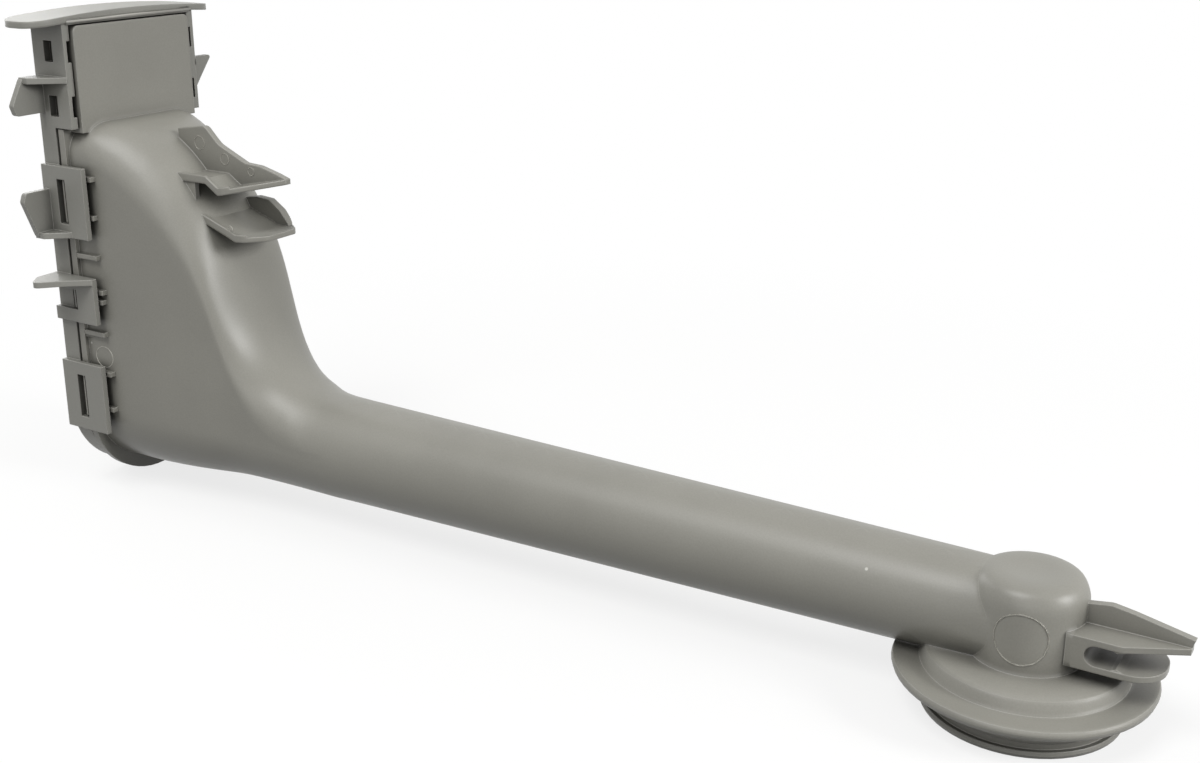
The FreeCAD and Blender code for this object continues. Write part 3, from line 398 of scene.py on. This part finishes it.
def newTree(name, sockets):
    tree = bpy.data.node_groups.new(name, "GeometryNodeTree")
    tree.interface.new_socket("Geometry", in_out="INPUT", socket_type="NodeSocketGeometry")
    for label, kind in sockets:
        tree.interface.new_socket(label, in_out="INPUT", socket_type=kind)
    tree.interface.new_socket("Geometry", in_out="OUTPUT", socket_type="NodeSocketGeometry")
    return tree, tree.nodes.new("NodeGroupInput"), tree.nodes.new("NodeGroupOutput")


def uprightCircle(tree, steps):
    # A circle that faces along Y, and its own radius socket
    circle = addNode(tree, "GeometryNodeCurvePrimitiveCircle", {"Resolution": steps, "Radius": 1.0})
    upright = addNode(tree, "GeometryNodeTransform", {"Rotation": (math.pi / 2, 0, 0)})
    tree.links.new(circle.outputs["Curve"], upright.inputs["Geometry"])
    return circle.inputs["Radius"], upright.outputs["Geometry"]


def roundRidge(tree, curve, ridge):
    # A ridge of round section along a curve
    section = addNode(tree, "GeometryNodeCurvePrimitiveCircle", {"Resolution": ridgeSides})
    swept = addNode(tree, "GeometryNodeCurveToMesh")
    tree.links.new(ridge, section.inputs["Radius"])
    tree.links.new(curve, swept.inputs["Curve"])
    tree.links.new(section.outputs["Curve"], swept.inputs["Profile Curve"])
    return swept.outputs["Mesh"]


def finishTree(tree, geometry, given, result):
    realized = addNode(tree, "GeometryNodeRealizeInstances")
    painted = addNode(tree, "GeometryNodeSetMaterial")
    tree.links.new(geometry, realized.inputs["Geometry"])
    tree.links.new(realized.outputs["Geometry"], painted.inputs["Geometry"])
    tree.links.new(given.outputs["Material"], painted.inputs["Material"])
    tree.links.new(painted.outputs["Geometry"], result.inputs["Geometry"])


def fromNodes(name, start, tree, values):
    # Runs a node tree over a starting mesh and keeps the result as a plain mesh
    obj = linkMesh(name, start)
    modifier = obj.modifiers.new("shape", "NODES")
    modifier.node_group = tree
    for item in tree.interface.items_tree:
        if item.item_type == "SOCKET" and item.in_out == "INPUT" and item.name in values:
            modifier[item.identifier] = values[item.name]
    graph = bpy.context.evaluated_depsgraph_get()
    mesh = bpy.data.meshes.new_from_object(obj.evaluated_get(graph), depsgraph=graph)
    obj.modifiers.clear()
    obj.data = mesh
    mesh.name = name
    shadeSmooth(mesh, smoothing["sharpAngle"])
    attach(obj, "root")
    print("made by nodes:", name, len(mesh.polygons), "faces")


# Moulding marks: fine raised rings where pins pushed the part out of its mould
flatMarkSet = {
    # centre, radius, turn about the upright axis in degrees
    "marks": [
        ((-216.8 * mm, -0.8 * mm, 92.6 * mm), 1.7 * mm, 0.0),  # three on the clip's web
        ((-208.5 * mm, -0.8 * mm, 89.3 * mm), 1.4 * mm, 0.0),
        ((-199.8 * mm, -0.8 * mm, 87.0 * mm), 1.0 * mm, 0.0),
        ((-200.05 * mm, -8.95 * mm, 74.1 * mm), 0.7 * mm, 0.0),  # one on its lower jaw
        ((-237.6 * mm, -19.58 * mm, 37.4 * mm), 2.8 * mm, 5.0),  # one on the bell's side
    ],
    "ridge": 0.09 * mm,
    "steps": 40,
}


def flatRingTree():
    # One ring on each point, with the point's own radius and turn
    sockets = [("Ridge", "NodeSocketFloat"), ("Material", "NodeSocketMaterial")]
    tree, given, result = newTree("flatRings", sockets)
    scatter = addNode(tree, "GeometryNodeInstanceOnPoints")
    size = addNode(tree, "GeometryNodeInputNamedAttribute", {"Name": "ringRadius"}, data_type="FLOAT")
    turn = addNode(tree, "GeometryNodeInputNamedAttribute", {"Name": "ringTurn"}, data_type="FLOAT")
    rotation = addNode(tree, "ShaderNodeCombineXYZ")
    realized = addNode(tree, "GeometryNodeRealizeInstances")
    tree.links.new(given.outputs["Geometry"], scatter.inputs["Points"])
    tree.links.new(uprightCircle(tree, flatMarkSet["steps"])[1], scatter.inputs["Instance"])
    tree.links.new(size.outputs["Attribute"], scatter.inputs["Scale"])
    tree.links.new(turn.outputs["Attribute"], rotation.inputs["Z"])
    tree.links.new(rotation.outputs["Vector"], scatter.inputs["Rotation"])
    tree.links.new(scatter.outputs["Instances"], realized.inputs["Geometry"])
    rings = roundRidge(tree, realized.outputs["Geometry"], given.outputs["Ridge"])
    finishTree(tree, rings, given, result)
    return tree


def buildFlatMarks(material):
    marks = flatMarkSet["marks"]
    points = bpy.data.meshes.new("markPoints")
    points.from_pydata([centre for centre, radius, turn in marks], [], [])
    sizes = points.attributes.new("ringRadius", "FLOAT", "POINT")
    sizes.data.foreach_set("value", [radius for centre, radius, turn in marks])
    turns = points.attributes.new("ringTurn", "FLOAT", "POINT")
    turns.data.foreach_set("value", [math.radians(turn) for centre, radius, turn in marks])
    fromNodes("flatMarks", points, flatRingTree(), {"Ridge": flatMarkSet["ridge"], "Material": material})


# The large mark on the round wall of the tower
towerMarkSet = {
    "wallRadius": 11.35 * mm,
    "across": 1.7 * mm,
    "height": 19.8 * mm,
    "radius": 5.3 * mm,
    "ridge": 0.15 * mm,
    "steps": 96,
}


def wrappedRingTree():
    # A ring laid on an upright cylinder about the Z axis: across becomes an angle
    sizes = ("Ridge", "Radius", "Wrap", "Across", "Height")
    sockets = [(label, "NodeSocketFloat") for label in sizes] + [("Material", "NodeSocketMaterial")]
    tree, given, result = newTree("wrappedRing", sockets)
    radius, circle = uprightCircle(tree, towerMarkSet["steps"])
    tree.links.new(given.outputs["Radius"], radius)
    ring = roundRidge(tree, circle, given.outputs["Ridge"])

    def maths(operation, first, second=None):
        made = addNode(tree, "ShaderNodeMath", operation=operation)
        for socket, value in zip(made.inputs, (first, second)):
            if isinstance(value, float):
                socket.default_value = value
            elif value is not None:
                tree.links.new(value, socket)
        return made.outputs[0]

    place = addNode(tree, "GeometryNodeInputPosition")
    parted = addNode(tree, "ShaderNodeSeparateXYZ")
    tree.links.new(place.outputs["Position"], parted.inputs["Vector"])
    across = maths("ADD", parted.outputs["X"], given.outputs["Across"])
    angle = maths("DIVIDE", across, given.outputs["Wrap"])
    reach = maths("SUBTRACT", given.outputs["Wrap"], parted.outputs["Y"])
    forward = maths("MULTIPLY", reach, maths("COSINE", angle))
    joined = addNode(tree, "ShaderNodeCombineXYZ")
    tree.links.new(maths("MULTIPLY", reach, maths("SINE", angle)), joined.inputs["X"])
    tree.links.new(maths("MULTIPLY", forward, -1.0), joined.inputs["Y"])
    tree.links.new(maths("ADD", parted.outputs["Z"], given.outputs["Height"]), joined.inputs["Z"])
    moved = addNode(tree, "GeometryNodeSetPosition")
    tree.links.new(ring, moved.inputs["Geometry"])
    tree.links.new(joined.outputs["Vector"], moved.inputs["Position"])
    finishTree(tree, moved.outputs["Geometry"], given, result)
    return tree


def buildTowerMark(material):
    t = towerMarkSet
    empty = bpy.data.meshes.new("towerMarkStart")
    fromNodes("towerMark", empty, wrappedRingTree(), {
        "Ridge": t["ridge"], "Radius": t["radius"], "Wrap": t["wallRadius"], "Across": t["across"],
        "Height": t["height"], "Material": material})


# Small ribs that stiffen the flange, on both sides of the bell, seen past the window plates
ribSet = {
    # height and far end of each
    "places": [
        (84.5 * mm, -234.8 * mm), (74.6 * mm, -235.2 * mm), (64.2 * mm, -235.6 * mm),
        (55.2 * mm, -234.6 * mm), (52.6 * mm, -235.0 * mm), (43.8 * mm, -235.5 * mm),
        (33.2 * mm, -234.5 * mm), (23.5 * mm, -234.7 * mm),
    ],
    "length": 7.6 * mm,
    "inner": 18.6 * mm,
    "outer": 20.9 * mm,
    "thick": 1.2 * mm,
}


def ribTree():
    # The same block on each point
    sockets = [("Size", "NodeSocketVector"), ("Material", "NodeSocketMaterial")]
    tree, given, result = newTree("ribRow", sockets)
    scatter = addNode(tree, "GeometryNodeInstanceOnPoints")
    block = addNode(tree, "GeometryNodeMeshCube")
    tree.links.new(given.outputs["Geometry"], scatter.inputs["Points"])
    tree.links.new(given.outputs["Size"], block.inputs["Size"])
    tree.links.new(block.outputs["Mesh"], scatter.inputs["Instance"])
    finishTree(tree, scatter.outputs["Instances"], given, result)
    return tree


def buildRibs(material):
    r = ribSet
    middle = (r["inner"] + r["outer"]) / 2
    points = bpy.data.meshes.new("ribPoints")
    points.from_pydata([(end - r["length"] / 2, side * middle, height)
                        for height, end in r["places"] for side in (1, -1)], [], [])
    size = (r["length"], r["outer"] - r["inner"], r["thick"])
    fromNodes("flangeRibs", points, ribTree(), {"Size": size, "Material": material})


# The rim of the hood over the back panel
hoodLipSet = {
    "low": (-239.8 * mm, -20.6 * mm, 122.25 * mm),
    "high": (-238.1 * mm, 20.6 * mm, 123.75 * mm),
    "edge": 0.5 * mm,
    "steps": 2,
}


def buildHoodLip(material):
    h = hoodLipSet
    shape = bmesh.new()
    bmesh.ops.create_cube(shape, size=1.0)
    for vert in shape.verts:
        vert.co = Vector([a if part < 0 else b for a, b, part in zip(h["low"], h["high"], vert.co)])
    bmesh.ops.bevel(shape, geom=shape.edges, offset=h["edge"], segments=h["steps"], affect="EDGES")
    mesh = bpy.data.meshes.new("hoodLip")
    shape.to_mesh(mesh)
    shape.free()
    mesh.materials.append(material)
    shadeSmooth(mesh)
    piece = linkMesh("hoodLip", mesh)
    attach(piece, "root")
    print("hood lip ready")


# Studio: a broad lamp overhead, a small one to the right, and a pale floor that fades into the white
studioSet = {
    "floorSize": 8.0,
    "floorDrop": 0.2 * mm,
    "floorColour": (0.93, 0.93, 0.92, 1),
    "floorMiddle": (-0.12, 0.0, 0.0),
    "floorLit": 0.22,
    "fadeStart": 0.12,
    "fadeEnd": 0.32,
    "floorBounce": (0.10, 0.10, 0.10, 1),
    "white": (1, 1, 1, 1),
    "skyStrength": 0.33,
    "lamps": [
        # name, place, aim, size, watts
        ("overheadLamp", (-0.24, -0.62, 1.10), (-0.12, 0.0, 0.03), 0.6, 8.4),
        ("rightLamp", (0.95, 0.08, 0.50), (-0.08, 0.0, 0.05), 0.35, 8.0),
        ("frontLamp", (0.10, -1.20, 0.35), (-0.12, 0.0, 0.05), 0.8, 2.0),
        ("backLamp", (-1.25, 0.30, 0.40), (-0.12, 0.0, 0.05), 0.8, 5.0),
    ],
}


def seenBackground(tree):
    # One for rays that show the background to the eye, also off gloss or through glass
    path = addNode(tree, "ShaderNodeLightPath")
    first = addNode(tree, "ShaderNodeMath", operation="MAXIMUM")
    second = addNode(tree, "ShaderNodeMath", operation="MAXIMUM")
    tree.links.new(path.outputs["Is Camera Ray"], first.inputs[0])
    tree.links.new(path.outputs["Is Glossy Ray"], first.inputs[1])
    tree.links.new(first.outputs[0], second.inputs[0])
    tree.links.new(path.outputs["Is Transmission Ray"], second.inputs[1])
    return second.outputs[0]


def chooseShader(tree, factor, first, second):
    # The first shader where the factor is 0, the second where it is 1
    made = addNode(tree, "ShaderNodeMixShader")
    tree.links.new(factor, made.inputs["Fac"])
    tree.links.new(first.outputs[0], made.inputs[1])
    tree.links.new(second.outputs[0], made.inputs[2])
    return made


def floorMaterial():
    s = studioSet
    material = bpy.data.materials.new("paleFloor")
    material.use_nodes = True
    tree = material.node_tree
    tree.nodes.clear()
    glow = addNode(tree, "ShaderNodeEmission", {"Color": s["white"], "Strength": 1.0})
    lit = addNode(tree, "ShaderNodeBsdfDiffuse", {"Color": s["floorColour"]})
    bounce = addNode(tree, "ShaderNodeBsdfDiffuse", {"Color": s["floorBounce"]})
    coordinates = addNode(tree, "ShaderNodeTexCoord")
    away = addNode(tree, "ShaderNodeVectorMath", {1: s["floorMiddle"]}, operation="DISTANCE")
    fade = addNode(tree, "ShaderNodeMapRange", {
        "From Min": s["fadeStart"], "From Max": s["fadeEnd"], "To Min": s["floorLit"], "To Max": 0.0},
        interpolation_type="SMOOTHSTEP")
    tree.links.new(coordinates.outputs["Object"], away.inputs[0])
    tree.links.new(away.outputs["Value"], fade.inputs["Value"])
    shown = chooseShader(tree, fade.outputs["Result"], glow, lit)
    chosen = chooseShader(tree, seenBackground(tree), bounce, shown)
    output = addNode(tree, "ShaderNodeOutputMaterial")
    tree.links.new(chosen.outputs[0], output.inputs["Surface"])
    return material


def buildFloor():
    s = studioSet
    half = s["floorSize"] / 2
    mesh = bpy.data.meshes.new("studioFloor")
    corners = [(-half, -half), (half, -half), (half, half), (-half, half)]
    mesh.from_pydata([(x, y, -s["floorDrop"]) for x, y in corners], [], [(0, 1, 2, 3)])
    mesh.materials.append(floorMaterial())
    linkMesh("studioFloor", mesh)
    print("floor ready")


def buildSky():
    s = studioSet
    world = bpy.data.worlds.new("studio")
    bpy.context.scene.world = world
    world.use_nodes = True
    tree = world.node_tree
    tree.nodes.clear()
    sky = addNode(tree, "ShaderNodeBackground", {"Color": s["white"], "Strength": s["skyStrength"]})
    backdrop = addNode(tree, "ShaderNodeBackground", {"Color": s["white"], "Strength": 1.0})
    chosen = chooseShader(tree, seenBackground(tree), sky, backdrop)
    output = addNode(tree, "ShaderNodeOutputWorld")
    tree.links.new(chosen.outputs[0], output.inputs["Surface"])
    print("sky ready")


def buildLamps():
    for name, spot, aim, size, watts in studioSet["lamps"]:
        data = bpy.data.lights.new(name, "AREA")
        data.shape = "SQUARE"
        data.size = size
        data.energy = watts
        lamp = bpy.data.objects.new(name, data)
        bpy.context.scene.collection.objects.link(lamp)
        lamp.location = spot
        lamp.rotation_euler = (Vector(aim) - Vector(spot)).to_track_quat("-Z", "Y").to_euler()
    bpy.context.scene.view_settings.view_transform = "Standard"
    print("lamps ready")


buildCamera()
ductPlastic = buildPlastic("ductPlastic")
framePlastic = buildPlastic("framePlastic")
markHighlightPlastic = buildPlastic("markHighlightPlastic")  # paler, so that the thin rings catch the light
buildMoulding("feed_pipe", ductPlastic)
buildMoulding("docking_frame", framePlastic)
buildFlatMarks(markHighlightPlastic)
buildTowerMark(markHighlightPlastic)
buildRibs(ductPlastic)
buildHoodLip(framePlastic)
buildFloor()
buildSky()
buildLamps()
